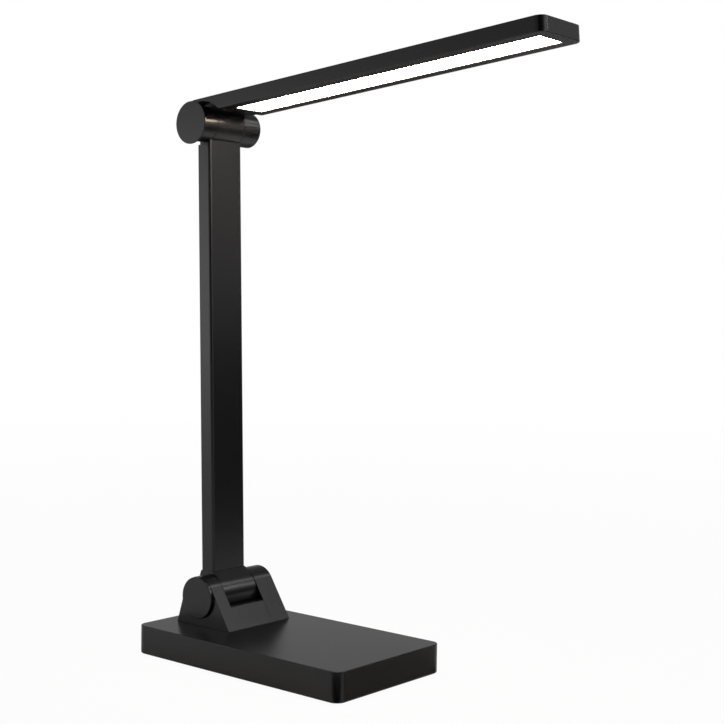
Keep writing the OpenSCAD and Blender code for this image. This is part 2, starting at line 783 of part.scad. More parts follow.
// Side view of the lower knuckle: a circle with a ramp up to the arm's foot in front and behind,
// grown by gap all round; the ramps' lines pass bite inside the circle
module knuckle_outline(gap, bite) {
    r = low_hinge_r - 0.1 + gap;
    front = [arm_offset - arm_half - gap, arm_start - 0.1 + gap];
    back = [arm_offset + arm_half + gap, arm_start - 0.1 + gap];
    circle(r);
    polygon([[0, 0], touch(front, r - bite, 1), front, back, touch(back, r - bite, -1)]);
}

// The same outline with the arm folded to its front stop
module folded_outline(gap) {
    rotate(arm_fold_forward - arm_lean) knuckle_outline(gap, 0.15);
}

module saddle_screw_holes(places) {
    for (p = places) translate([p[0], p[1] - low_axis_back, -low_axis_height - 1])
        cylinder(r = saddle_screw_r + still_gap, h = saddle_screw_length - base_wall + 1.5);
}

module hinge_saddle() {
    color(satin_black) at_low_axis() difference() {
        union() {
            difference() {
                along_x(saddle_left, slot_right) saddle_outline(low_hinge_r);
                along_x(slot_left, slot_right + 1) saddle_outline(low_inner_r);
            }
            // the shield round the knuckle, and the sills of the window
            along_x(slot_left - 1, slot_right) intersection() {
                saddle_outline(low_inner_r + 1);
                union() {
                    folded_outline(swing_gap + 0.1 + shield);
                    translate([-3 * low_hinge_r, -sill_drop - shield]) square([3 * low_hinge_r, shield]);
                }
            }
            // the right cheek and the socket for the bolt's head, inside the side cover
            along_x(slot_right - shield, right_cheek_x) saddle_outline(low_inner_r - fit_gap);
            along_x(slot_right - shield, slot_right) saddle_outline(low_inner_r + 1);
            x_cylinder(hex_boss_r, right_cheek_x - 1, right_cheek_x + 2.4);
            intersection() {
                saddle_bosses(front_screws);
                along_x(slot_left, slot_right) saddle_outline(low_hinge_r);
            }
        }
        // room for the knuckle, and for the arm to fold down in front and lean back behind
        along_x(slot_left, slot_right) folded_outline(swing_gap + 0.1);
        translate([slot_left, -3 * low_hinge_r, -sill_drop])
            cube([slot_right - slot_left, 3 * low_hinge_r, 3 * low_hinge_r]);
        translate([slot_left, 0, -window_back_drop])
            cube([slot_right - slot_left, 3 * low_hinge_r, 3 * low_hinge_r]);
        x_cylinder(nut_pocket_r, saddle_left - 1, left_cheek_x);
        x_cylinder(bolt_r + still_gap, saddle_left, saddle_right);
        x_hexagon(hex_hole_r, right_cheek_x, right_cheek_x + 4);
        stop_groove(slot_left, low_lug_r, low_lug_at, arm_fold_forward, arm_fold_back);
        translate([hinge_middle, 0, -low_axis_height - 1])
            linear_extrude(low_axis_height) rounded_rect(wire_hole[0], wire_hole[1], wire_hole_corner);
        saddle_screw_holes(left_screws);
        saddle_screw_holes(front_screws);
    }
}

module saddle_side_cover() {
    color(satin_black) at_low_axis() difference() {
        union() {
            difference() {
                along_x(slot_right + fit_gap, saddle_right) saddle_outline(low_hinge_r);
                along_x(slot_right, saddle_right - saddle_wall) saddle_outline(low_inner_r);
            }
            intersection() {
                saddle_bosses(cover_screws);
                along_x(slot_right + fit_gap, saddle_right) saddle_outline(low_hinge_r);
            }
        }
        saddle_screw_holes(cover_screws);
    }
}

module saddle_screws() {
    color(zinc_steel) for (p = all_saddle_screws) translate([p[0], p[1], shell_ceiling_z])
        pan_screw(saddle_screw_r, saddle_screw_length, saddle_screw_head_r, saddle_screw_head_h);
}

module saddle_cap() {
    color(satin_black) at_low_axis() translate([saddle_left, 0, 0]) mirror([1, 0, 0]) difference() {
        union() {
            x_cap(low_cap_r, cap_step, cap_proud, 0.4);
            x_cylinder(cap_step_r, 0, cap_step + 0.1);
            x_cylinder(nut_pocket_r - slip_gap, -2, 0.1);
        }
        x_cylinder(nut_pocket_r - slip_gap - plug_wall, -3, 0.2);
    }
}

module lower_hinge_bolt() {
    color(bare_steel) at_low_axis()
        hinge_bolt(left_cheek_x - spring_stack - hex_height - bolt_end, right_cheek_x);
}

module lower_hinge_nut() {
    color(zinc_steel) at_low_axis() hinge_nut(left_cheek_x - spring_stack);
}

module lower_spring_washers() {
    color(bare_steel) at_low_axis() spring_pair(left_cheek_x);
}

module lower_friction_washers() {
    color(deep_black) at_low_axis() {
        friction_washer(low_friction_d / 2, slot_left, slot_left + friction_thickness);
        friction_washer(low_friction_d / 2, slot_right - friction_thickness, slot_right);
    }
}

// --- Arm ---

// Section of the whole arm, with its middle plane at y = 0
module arm_section() {
    rounded_rect(arm_width, arm_thickness, arm_edge);
}

module arm_front_shell() {
    color(satin_black) at_arm() translate([0, arm_offset, 0]) difference() {
        translate([0, 0, arm_start]) linear_extrude(arm_pitch - arm_start) arm_section();
        // room for the upper hinge, the open channel, and the sides that stop short of the ears
        translate([0, 0, arm_pitch]) x_cylinder(top_swing, -arm_width, arm_width);
        translate([-channel_width / 2, -arm_half + arm_wall, arm_start - 1])
            cube([channel_width, arm_thickness, arm_pitch]);
        translate([-arm_width, -arm_half + arm_wall, arm_end])
            cube([2 * arm_width, arm_thickness, arm_pitch]);
    }
}

module arm_back_cover() {
    color(satin_black) at_arm() translate([0, arm_offset, 0]) difference() {
        translate([0, arm_half - cover_plate / 2, (arm_start + arm_end) / 2])
            cube([channel_width - 2 * fit_gap, cover_plate, arm_end - arm_start - 0.2], center = true);
        arm_screw_holes();
    }
}

// Places of the four screws in the arm's back, pointing forwards
module at_arm_screws() {
    for (s = [arm_start + arm_screw_inset, arm_end - arm_screw_inset], x = [-1, 1])
        translate([x * arm_screw_x, arm_half, s]) rotate([90, 0, 0]) children();
}

module arm_screw_holes() {
    at_arm_screws()
        flat_screw_hole(arm_screw_r, arm_screw_length, arm_screw_head_r, arm_screw_head_h);
}

// Tongue from z0 to z1 that fits in the arm's channel
module tongue(z0, z1) {
    translate([-tongue_width / 2, -arm_half + arm_wall, z0])
        cube([tongue_width, tongue_thickness, z1 - z0]);
}

module arm_lower_knuckle() {
    color(satin_black) at_arm() difference() {
        union() {
            along_x(-arm_width / 2, arm_width / 2) knuckle_outline(0, 0);
            translate([0, arm_offset, 0]) tongue(arm_start - 1, arm_start + tongue_length);
            stop_lug(arm_width / 2, low_lug_r, low_lug_at - arm_lean);
        }
        knuckle_holes(arm_width / 2, low_friction_d / 2);
        wire_slot_along(low_wire_path);
        translate([0, arm_offset, 0]) arm_screw_holes();
    }
}

module arm_upper_knuckle() {
    color(satin_black) at_arm() translate([0, arm_offset, 0]) difference() {
        union() {
            translate([0, 0, arm_pitch]) x_cylinder(top_hinge_r, -top_knuckle_half, top_knuckle_half);
            translate([-top_knuckle_half, -arm_half + arm_wall, arm_end])
                cube([top_knuckle_width, arm_thickness - arm_wall, arm_pitch - arm_end]);
            tongue(arm_end - tongue_length, arm_end + 1);
            translate([0, 0, arm_pitch]) stop_lug(top_knuckle_half, top_lug_r, top_lug_at);
        }
        translate([0, 0, arm_pitch]) knuckle_holes(top_knuckle_half, top_friction_d / 2);
        wire_slot_along(top_wire_path);
        arm_screw_holes();
    }
}

module arm_screws() {
    color(zinc_steel) at_arm() translate([0, arm_offset, 0]) at_arm_screws()
        flat_screw(arm_screw_r, arm_screw_length, arm_screw_head_r, arm_screw_head_h);
}

module arm_wires() {
    color(wire_red) at_arm() for (side = [-1, 1])
        wire([[side, arm_offset + wire_depth, arm_start + tongue_length - 8],
            [side, arm_offset + wire_depth, arm_start + tongue_length + 20],
            [side, arm_offset, arm_pitch / 2],
            [side, arm_offset + wire_depth, arm_end - tongue_length - 20],
            [side, arm_offset + wire_depth, arm_end - tongue_length + 8]], wire_r);
}

// --- Light head ---

// Outside of the light head's bar, trimmed round the hinge
module head_bar() {
    spare = 30;
    intersection() {
        translate([0, (spare - head_reach) / 2, head_rise])
            soft_block(head_width, head_reach + spare, head_thickness, head_corner, head_edge, head_edge);
        union() {
            translate([-head_width, -head_reach - 1, 0]) cube([2 * head_width, head_reach + 1, 40]);
            intersection() {
                x_cylinder(head_top, -head_width, head_width);
                translate([-head_width, -1, 0]) cube([2 * head_width, wrap_back + 1, 40]);
            }
        }
    }
}

module head_housing() {
    color(satin_black) at_head() difference() {
        union() {
            difference() {
                head_bar();
                for (sx = [-1, 1]) translate([sx * head_width, -scallop_forward, scallop_drop])
                    x_cylinder(scallop_r, -head_width / 2 - scallop_depth,
                        head_width / 2 + scallop_depth);
            }
            x_cylinder(top_hinge_r, -left_ear_end, -top_slot_half);
            x_cylinder(top_hinge_r, top_slot_half, right_ear_end);
        }
        // room for the knuckle, the bar's hollow and the port for the wires
        x_cylinder(top_hinge_r + swing_gap, -top_slot_half, top_slot_half);
        difference() {
            translate([0, -(cavity_start + cavity_end) / 2, 0])
                rounded_block(head_width - 2 * head_wall, cavity_end - cavity_start,
                    head_corner - head_wall, head_rise - 1, head_inner_top);
            for (sx = [-1, 1]) translate([sx * bezel_screw_x, -bezel_screw_s, bezel_top])
                cylinder(r = bezel_boss_r, h = head_inner_top);
        }
        translate([-wire_port[0] / 2, -cavity_start - 1, head_inner_top - wire_port[1]])
            cube([wire_port[0], cavity_start, wire_port[1]]);
        for (sx = [-1, 1]) translate([sx * bezel_screw_x, -bezel_screw_s, head_rise])
            cylinder(r = bezel_screw_r + still_gap, h = head_thickness - head_wall - 0.6);
        // the bolt's hole, the nut's pocket on the left and the head's hexagonal socket on the right
        x_cylinder(bolt_r + still_gap, -left_ear_end, right_ear_end);
        x_cylinder(top_pocket_r, -left_ear_end - 1, -top_cheek_x);
        x_hexagon(hex_hole_r, top_cheek_x, right_ear_end);
        x_cylinder(top_pocket_r, top_cheek_x + hex_height, right_ear_end + 1);
        stop_groove(-top_slot_half, top_lug_r, top_lug_at + arm_lean - head_tilt, head_fold_up,
            head_fold_down);
    }
}

module head_bezel() {
    color(satin_black) at_head() difference() {
        translate([0, -(cavity_start + cavity_end) / 2, 0])
            rounded_block(head_width - 2 * head_wall - 2 * fit_gap,
                cavity_end - cavity_start - 2 * fit_gap, head_corner - head_wall - fit_gap,
                head_rise, bezel_top);
        translate([0, -panel_middle, 0])
            rounded_block(panel_width, panel_length, panel_corner, head_rise - 1, bezel_top + 1);
        for (sx = [-1, 1]) translate([sx * bezel_screw_x, -bezel_screw_s, head_rise])
            flat_screw_hole(bezel_screw_r, bezel_thickness + 1, bezel_screw_head_r, bezel_screw_head_h);
    }
}

module led_diffuser() {
    color(opal_white) at_head() translate([0, -panel_middle, 0]) {
        rounded_block(panel_width - 2 * fit_gap, panel_length - 2 * fit_gap, panel_corner - fit_gap,
            head_rise + panel_recess, bezel_top + 0.1);
        rounded_block(guide_width, guide_length, panel_corner, bezel_top, guide_bottom);
    }
}

module light_guide() {
    color(clear_acrylic) at_head() translate([0, -panel_middle, 0])
        rounded_block(guide_width, guide_length, panel_corner, guide_bottom, guide_top);
}

module reflector_sheet() {
    color(foil_white) at_head() translate([0, -panel_middle, 0])
        rounded_block(guide_width, guide_length, panel_corner, guide_top, spreader_bottom);
}

// Two narrow circuit boards that stand along the light guide's long edges
module led_strips() {
    color(foil_white) at_head() for (sx = [-1, 1])
        translate([sx * (strip_x + strip_thickness / 2), -panel_middle, (bezel_top + spreader_bottom) / 2])
            cube([strip_thickness, guide_length, spreader_bottom - bezel_top], center = true);
}

module led_chips() {
    color(led_yellow) at_head()
        for (sx = [-1, 1], i = [0 : led_count - 1])
            translate([sx * (strip_x - led_depth / 2),
                -panel_middle + (i - (led_count - 1) / 2) * led_pitch, (guide_bottom + guide_top) / 2])
                cube([led_depth, led_size[0], led_size[1]], center = true);
}

module heat_spreader() {
    color(raw_aluminium) at_head() translate([0, -panel_middle, 0])
        rounded_block(2 * (strip_x + strip_thickness), guide_length, 1, spreader_bottom, head_inner_top);
}

module bezel_screws() {
    color(deep_black) at_head() for (sx = [-1, 1])
        translate([sx * bezel_screw_x, -bezel_screw_s, head_rise])
            flat_screw(bezel_screw_r, head_thickness - head_wall - 1, bezel_screw_head_r,
                bezel_screw_head_h);
}

// Cap of radius r from x0 to x1, with a hollow plug that fits in the ear's pocket
module plug_cap(r, x0, x1, edge) {
    difference() {
        union() {
            x_cap(r, x0 + 0.1, x1, edge);
            x_cylinder(top_pocket_r - slip_gap, x0 - 1.1, x0 + 0.2);
        }
        x_cylinder(top_pocket_r - slip_gap - plug_wall, x0 - 2, x0 + 0.2);
    }
}

module head_hinge_caps() {
    color(satin_black) at_head() {
        mirror([1, 0, 0]) plug_cap(top_disc_r, left_ear_end, top_left_reach, 0.3);
        plug_cap(top_hinge_r, right_ear_end, top_right_reach, top_cap_edge);
    }
}

module upper_hinge_bolt() {
    color(bare_steel) at_head()
        hinge_bolt(-top_cheek_x - spring_stack - hex_height - bolt_end, top_cheek_x);
}

module upper_hinge_nut() {
    color(zinc_steel) at_head() hinge_nut(-top_cheek_x - spring_stack);
}

module upper_spring_washers() {
    color(bare_steel) at_head() spring_pair(-top_cheek_x);
}

module upper_friction_washers() {
    color(deep_black) at_head() {
        friction_washer(top_friction_d / 2, -top_slot_half, -top_slot_half + friction_thickness);
        friction_washer(top_friction_d / 2, top_slot_half - friction_thickness, top_slot_half);
    }
}

module head_wires() {
    z = head_inner_top - wire_port[1] / 2;
    color(wire_red) at_head() for (side = [-1, 1])
        wire([[side, -top_hinge_r - 1.5, z], [side, -cavity_start - 1, z],
            [side * 2.4, -cavity_start - 3, z]], wire_r);
}

base_top_shell();
base_bottom_cover();
base_screws();
anti_slip_pad();
ballast_plate();
ballast_screws();
control_board();
board_components();
board_screws();
touch_pads();
power_socket();
socket_pin();
socket_board();
base_wires();
hinge_saddle();
saddle_side_cover();
saddle_screws();
saddle_cap();
lower_hinge_bolt();
lower_hinge_nut();
lower_spring_washers();
lower_friction_washers();
arm_front_shell();
arm_back_cover();
arm_lower_knuckle();
arm_upper_knuckle();
arm_screws();
arm_wires();
head_housing();
head_bezel();
led_diffuser();
light_guide();
reflector_sheet();
led_strips();
led_chips();
heat_spreader();
bezel_screws();
head_hinge_caps();
upper_hinge_bolt();
upper_hinge_nut();
upper_spring_washers();
upper_friction_washers();
head_wires();
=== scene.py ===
"""Folding LED desk lamp: finishes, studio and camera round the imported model. Sizes are in metres."""

import math

import bpy
from mathutils import Matrix, Vector

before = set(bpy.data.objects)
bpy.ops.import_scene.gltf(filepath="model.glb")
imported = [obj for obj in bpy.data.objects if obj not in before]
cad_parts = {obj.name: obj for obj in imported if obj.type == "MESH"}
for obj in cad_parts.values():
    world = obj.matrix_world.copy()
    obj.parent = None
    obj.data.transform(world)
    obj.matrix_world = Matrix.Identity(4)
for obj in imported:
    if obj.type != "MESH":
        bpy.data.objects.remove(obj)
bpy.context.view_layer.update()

# ---------------------------------------------------------------- camera

# the picture's side and the lens's focal length, in pixels
IMAGE_SIDE = 724
FOCAL_PX = 1364.8
SENSOR_MM = 36
# the camera's turn round the lamp from straight in front, its rise above level and its lean to one side
AZIMUTH = math.radians(-49.733)
ELEVATION = math.radians(2.307)
ROLL = math.radians(0.762)
CAMERA_PLACE = Vector((-0.61189, -0.57729, 0.22177))
NEAREST_SEEN = 0.01
FURTHEST_SEEN = 50


def place_camera():
    """Stands the camera in front of the lamp on its left, a little above the middle of the arm."""
    back = Vector((
        math.sin(AZIMUTH) * math.cos(ELEVATION),
        -math.cos(AZIMUTH) * math.cos(ELEVATION),
        math.sin(ELEVATION),
    ))
    level = Vector((math.cos(AZIMUTH), math.sin(AZIMUTH), 0))
    upright = back.cross(level)
    right = math.cos(ROLL) * level + math.sin(ROLL) * upright
    up = math.cos(ROLL) * upright - math.sin(ROLL) * level
    lens = bpy.data.cameras.new("camera")
    lens.sensor_width = SENSOR_MM
    lens.lens = FOCAL_PX * SENSOR_MM / IMAGE_SIDE
    lens.clip_start = NEAREST_SEEN
    lens.clip_end = FURTHEST_SEEN
    camera = bpy.data.objects.new("camera", lens)
    turn = Matrix((right, up, back)).transposed().to_4x4()
    camera.matrix_world = Matrix.Translation(CAMERA_PLACE) @ turn
    bpy.context.collection.objects.link(camera)
    bpy.context.scene.camera = camera


place_camera()

# ---------------------------------------------------------------- colours and nodes

MM = 0.001
# the sockets of a colour Mix node: its factor, its two colours and the mixed colour that it gives
FACTOR = 0
FIRST = 6
SECOND = 7
MIXED = 2


def hex_rgba(code):
    """Turns an sRGB hex colour into linear RGBA."""
    channels = [int(code[i : i + 2], 16) / 255 for i in (1, 3, 5)]
    # the curve and its numbers are the sRGB standard's own
    linear = [c / 12.92 if c <= 0.04045 else ((c + 0.055) / 1.055) ** 2.4 for c in channels]
    return linear + [1]


def add(tree, kind, inputs=None, **settings):
    """Adds a node, sets its settings, and links or fills its inputs."""
    node = tree.nodes.new(kind)
    for name, value in settings.items():
        setattr(node, name, value)
    for name, value in (inputs or {}).items():
        if isinstance(value, bpy.types.Node):
            value = value.outputs[0]
        if isinstance(value, bpy.types.NodeSocket):
            tree.links.new(value, node.inputs[name])
        else:
            node.inputs[name].default_value = value
    return node


def start_finish(name):
    """Starts an empty node material and gives its tree and the piece's own coordinates."""
    finish = bpy.data.materials.new(name)
    finish.use_nodes = True
    tree = finish.node_tree
    tree.nodes.clear()
    place = add(tree, "ShaderNodeTexCoord").outputs["Object"]
    return finish, tree, place


# ---------------------------------------------------------------- plastics and rubber

ABS_DARK = "#0d0d0e"
ABS_LIGHT = "#171718"
ABS_ROUGHNESS = 0.26
# how much duller the sheen is where hands touch it, and how much smoother an edge is rubbed
TOUCHED = 0.01
RUBBED = 0.05
RIB_PITCH = 2.5 * MM
# a wave texture has a band every 2 pi / 20 at a scale of 1
WAVE_BAND = 2 * math.pi / 20


def moulded_satin_abs():
    """ABS moulded in a lightly polished tool: near black, hardly clouded where the melt flowed, with a soft
    and almost even sheen and edges rubbed a little smoother."""
    finish, tree, place = start_finish("moulded_satin_abs")
    flow = add(tree, "ShaderNodeTexNoise", {"Vector": place, "Scale": 1 / (60 * MM), "Detail": 3})
    touch = add(tree, "ShaderNodeTexNoise", {
        "Vector": place, "Scale": 1 / (25 * MM), "Detail": 2, "Roughness": 0.5,
    })
    # the tool's own grain is 0.1 mm wide and is drawn at 0.5 mm, so that it shows
    tool = add(tree, "ShaderNodeTexNoise", {"Vector": place, "Scale": 1 / (0.5 * MM), "Detail": 2})
    tone = add(tree, "ShaderNodeMix", {
        FACTOR: flow, FIRST: hex_rgba(ABS_DARK), SECOND: hex_rgba(ABS_LIGHT),
    }, data_type="RGBA").outputs[MIXED]
    # the rounded normal leaves the flat one only at an edge, and that is where the sheen is rubbed
    corner = add(tree, "ShaderNodeBevel", {"Radius": 0.3 * MM}, samples=4)
    flat = add(tree, "ShaderNodeNewGeometry").outputs["True Normal"]
    level = add(tree, "ShaderNodeVectorMath", {
        0: corner, 1: flat,
    }, operation="DOT_PRODUCT").outputs["Value"]
    rubbed = add(tree, "ShaderNodeMapRange", {
        "Value": level, "From Min": 0.97, "From Max": 0.85, "To Min": 0.0, "To Max": RUBBED,
    })
    sheen = add(tree, "ShaderNodeMapRange", {
        "Value": touch, "From Min": 0.35, "From Max": 0.65,
        "To Min": ABS_ROUGHNESS, "To Max": ABS_ROUGHNESS + TOUCHED,
    })
    rough = add(tree, "ShaderNodeMath", {0: sheen, 1: rubbed}, operation="SUBTRACT")
    relief = add(tree, "ShaderNodeBump", {"Height": tool, "Distance": 0.003 * MM, "Normal": corner})
    shell = add(tree, "ShaderNodeBsdfPrincipled", {
        "Base Color": tone, "Roughness": rough, "IOR": 1.53, "Specular IOR Level": 0.3, "Normal": relief,
    })
    add(tree, "ShaderNodeOutputMaterial", {"Surface": shell})
    return finish


def moulded_matte_abs():
    """ABS moulded in a spark-eroded tool: an even black grain with hardly any sheen."""
    finish, tree, place = start_finish("moulded_matte_abs")
    shade = add(tree, "ShaderNodeTexNoise", {"Vector": place, "Scale": 1 / (25 * MM), "Detail": 2})
    # the pits are 0.15 mm wide and are drawn at 0.6 mm, so that they show
    pits = add(tree, "ShaderNodeTexNoise", {
        "Vector": place, "Scale": 1 / (0.6 * MM), "Detail": 3, "Roughness": 0.6,
    })
    tone = add(tree, "ShaderNodeMix", {
        FACTOR: shade, FIRST: hex_rgba("#121213"), SECOND: hex_rgba("#202021"),
    }, data_type="RGBA").outputs[MIXED]
    rough = add(tree, "ShaderNodeMapRange", {"Value": pits, "To Min": 0.45, "To Max": 0.75})
    relief = add(tree, "ShaderNodeBump", {"Height": pits, "Distance": 0.04 * MM})
    shell = add(tree, "ShaderNodeBsdfPrincipled", {
        "Base Color": tone, "Roughness": rough, "IOR": 1.53, "Normal": relief,
    })
    add(tree, "ShaderNodeOutputMaterial", {"Surface": shell})
    return finish


def turned_acetal():
    """Acetal turned from bar: black and waxy, with fine rings round each washer's bore."""
    finish, tree, place = start_finish("turned_acetal")
    # the cutter's feed is 0.1 mm and is drawn at 0.4 mm, so that it shows
    feed = add(tree, "ShaderNodeTexNoise", {"Vector": place, "Scale": 1 / (0.4 * MM), "Detail": 1})
    tone = add(tree, "ShaderNodeMix", {
        FACTOR: feed, FIRST: hex_rgba("#101011"), SECOND: hex_rgba("#1f1f20"),
    }, data_type="RGBA").outputs[MIXED]
    rough = add(tree, "ShaderNodeMapRange", {"Value": feed, "To Min": 0.25, "To Max": 0.5})
    relief = add(tree, "ShaderNodeBump", {"Height": feed, "Distance": 0.01 * MM})
    ring = add(tree, "ShaderNodeBsdfPrincipled", {
        "Base Color": tone, "Roughness": rough, "IOR": 1.48, "Normal": relief,
    })
    add(tree, "ShaderNodeOutputMaterial", {"Surface": ring})
    return finish


def pressed_nitrile_rubber():
    """Nitrile rubber pressed in a crosshatched mould: dull black, with a square relief and dust in it."""
    finish, tree, place = start_finish("pressed_nitrile_rubber")
    ribs = WAVE_BAND / RIB_PITCH
    rows = add(tree, "ShaderNodeTexWave", {"Vector": place, "Scale": ribs}, bands_direction="X")
    columns = add(tree, "ShaderNodeTexWave", {"Vector": place, "Scale": ribs}, bands_direction="Y")
    hatch = add(tree, "ShaderNodeMath", {
        0: rows.outputs["Fac"], 1: columns.outputs["Fac"],
    }, operation="MULTIPLY")
    dust = add(tree, "ShaderNodeTexNoise", {
        "Vector": place, "Scale": 1 / (8 * MM), "Detail": 5, "Roughness": 0.65,
    })
    tone = add(tree, "ShaderNodeMix", {
        FACTOR: dust, FIRST: hex_rgba("#101010"), SECOND: hex_rgba("#252422"),
    }, data_type="RGBA").outputs[MIXED]
    rough = add(tree, "ShaderNodeMapRange", {"Value": dust, "To Min": 0.62, "To Max": 0.95})
    relief = add(tree, "ShaderNodeBump", {"Height": hatch, "Distance": 0.25 * MM, "Strength": 0.7})
    mat = add(tree, "ShaderNodeBsdfPrincipled", {
        "Base Color": tone, "Roughness": rough, "IOR": 1.52, "Normal": relief,
    })
    add(tree, "ShaderNodeOutputMaterial", {"Surface": mat})
    return finish


def cut_conductive_foam():
    """Conductive foam cut from a sheet: dark grey and full of open cells."""
    finish, tree, place = start_finish("cut_conductive_foam")
    cells = add(tree, "ShaderNodeTexVoronoi", {"Vector": place, "Scale": 1 / (0.6 * MM)})
    tone = add(tree, "ShaderNodeMix", {
        FACTOR: cells, FIRST: hex_rgba("#2c2d30"), SECOND: hex_rgba("#66686c"),
    }, data_type="RGBA").outputs[MIXED]
    relief = add(tree, "ShaderNodeBump", {"Height": cells, "Distance": 0.25 * MM})
    foam = add(tree, "ShaderNodeBsdfPrincipled", {"Base Color": tone, "Roughness": 0.95, "Normal": relief})
    add(tree, "ShaderNodeOutputMaterial", {"Surface": foam})
    return finish


def extruded_pvc():
    """PVC insulation extruded over wire: smooth, red and softly shiny."""
    finish, tree, place = start_finish("extruded_pvc")
    draw = add(tree, "ShaderNodeTexNoise", {"Vector": place, "Scale": 1 / (1.2 * MM), "Detail": 2})
    tone = add(tree, "ShaderNodeMix", {
        FACTOR: draw, FIRST: hex_rgba("#70130f"), SECOND: hex_rgba("#a4251f"),
    }, data_type="RGBA").outputs[MIXED]
    rough = add(tree, "ShaderNodeMapRange", {"Value": draw, "To Min": 0.25, "To Max": 0.5})
    relief = add(tree, "ShaderNodeBump", {"Height": draw, "Distance": 0.01 * MM})
    jacket = add(tree, "ShaderNodeBsdfPrincipled", {
        "Base Color": tone, "Roughness": rough, "IOR": 1.54, "Normal": relief,
    })
    add(tree, "ShaderNodeOutputMaterial", {"Surface": jacket})
    return finish


# ---------------------------------------------------------------- the light panel

# the lit panel's strength, where 1 is as bright as white paper
PANEL_GLOW = 34.0


def extruded_opal_acrylic():
    """Opal acrylic sheet lit from its edges: an even, slightly warm white glow behind a satin face."""
    finish, tree, place = start_finish("extruded_opal_acrylic")
    # the satin's grain is 0.05 mm wide and is drawn at 0.5 mm, so that it shows
    satin = add(tree, "ShaderNodeTexNoise", {"Vector": place, "Scale": 1 / (0.5 * MM), "Detail": 2})
    spread = add(tree, "ShaderNodeTexNoise", {"Vector": place, "Scale": 1 / (40 * MM), "Detail": 1})
    glow = add(tree, "ShaderNodeMix", {
        FACTOR: spread, FIRST: hex_rgba("#ffeede"), SECOND: hex_rgba("#ffe4cd"),
    }, data_type="RGBA").outputs[MIXED]
    rough = add(tree, "ShaderNodeMapRange", {"Value": satin, "To Min": 0.3, "To Max": 0.55})
    sheet = add(tree, "ShaderNodeBsdfPrincipled", {
        "Base Color": hex_rgba("#f2f1ea"), "Roughness": rough, "IOR": 1.49,
        "Emission Color": glow, "Emission Strength": PANEL_GLOW,
    })
    add(tree, "ShaderNodeOutputMaterial", {"Surface": sheet})
    return finish


def cast_clear_acrylic():
    """Cast clear acrylic with rows of printed dots that send the light out of its face."""
    finish, tree, place = start_finish("cast_clear_acrylic")
    dots = add(tree, "ShaderNodeTexVoronoi", {"Vector": place, "Scale": 1 / (1.5 * MM), "Randomness": 0.0})
    rough = add(tree, "ShaderNodeMapRange", {
        "Value": dots, "From Min": 0.15, "From Max": 0.3, "To Min": 0.35, "To Max": 0.04,
    })
    guide = add(tree, "ShaderNodeBsdfPrincipled", {
        "Base Color": hex_rgba("#eef6f7"), "Roughness": rough, "IOR": 1.49, "Transmission Weight": 0.9,
    })
    add(tree, "ShaderNodeOutputMaterial", {"Surface": guide})
    return finish


def blown_white_film():
    """White polyester film full of tiny bubbles: bright and matte."""
    finish, tree, place = start_finish("blown_white_film")
    bubbles = add(tree, "ShaderNodeTexNoise", {"Vector": place, "Scale": 1 / (0.4 * MM), "Detail": 3})
    tone = add(tree, "ShaderNodeMix", {
        FACTOR: bubbles, FIRST: hex_rgba("#e6e6e3"), SECOND: hex_rgba("#fbfbfa"),
    }, data_type="RGBA").outputs[MIXED]
    rough = add(tree, "ShaderNodeMapRange", {"Value": bubbles, "To Min": 0.5, "To Max": 0.85})
    film = add(tree, "ShaderNodeBsdfPrincipled", {"Base Color": tone, "Roughness": rough, "IOR": 1.57})
    add(tree, "ShaderNodeOutputMaterial", {"Surface": film})
    return finish


def cast_led_silicone():
    """Phosphor in cast silicone on a light-emitting diode: yellow, smooth and a little glassy."""
    finish, tree, place = start_finish("cast_led_silicone")
    grains = add(tree, "ShaderNodeTexNoise", {"Vector": place, "Scale": 1 / (0.25 * MM), "Detail": 2})
    tone = add(tree, "ShaderNodeMix", {
        FACTOR: grains, FIRST: hex_rgba("#e2c65a"), SECOND: hex_rgba("#f8e79a"),
    }, data_type="RGBA").outputs[MIXED]
    rough = add(tree, "ShaderNodeMapRange", {"Value": grains, "To Min": 0.1, "To Max": 0.4})
    lens = add(tree, "ShaderNodeBsdfPrincipled", {
        "Base Color": tone, "Roughness": rough, "IOR": 1.41,
        "Subsurface Weight": 0.2, "Subsurface Scale": 0.5 * MM,
    })
    add(tree, "ShaderNodeOutputMaterial", {"Surface": lens})
    return finish


# ---------------------------------------------------------------- circuit boards


def solder_masked_board(name, mask, track):
    """Glass-fibre board under glossy solder mask: copper tracks show through it, a little proud."""
    finish, tree, place = start_finish(name)
    weave = add(tree, "ShaderNodeTexNoise", {"Vector": place, "Scale": 1 / (0.4 * MM), "Detail": 1})
    tracks = add(tree, "ShaderNodeTexBrick", {
        "Vector": place, "Scale": 1 / (6 * MM), "Mortar Size": 0.08, "Mortar Smooth": 0.2,
        "Color1": hex_rgba(mask), "Color2": hex_rgba(mask), "Mortar": hex_rgba(track),
    })
    rough = add(tree, "ShaderNodeMapRange", {"Value": weave, "To Min": 0.15, "To Max": 0.4})
    relief = add(tree, "ShaderNodeBump", {"Height": tracks.outputs["Fac"], "Distance": 0.035 * MM})
    board = add(tree, "ShaderNodeBsdfPrincipled", {
        "Base Color": tracks, "Roughness": rough, "IOR": 1.5, "Normal": relief,
    })
    add(tree, "ShaderNodeOutputMaterial", {"Surface": board})
    return finish


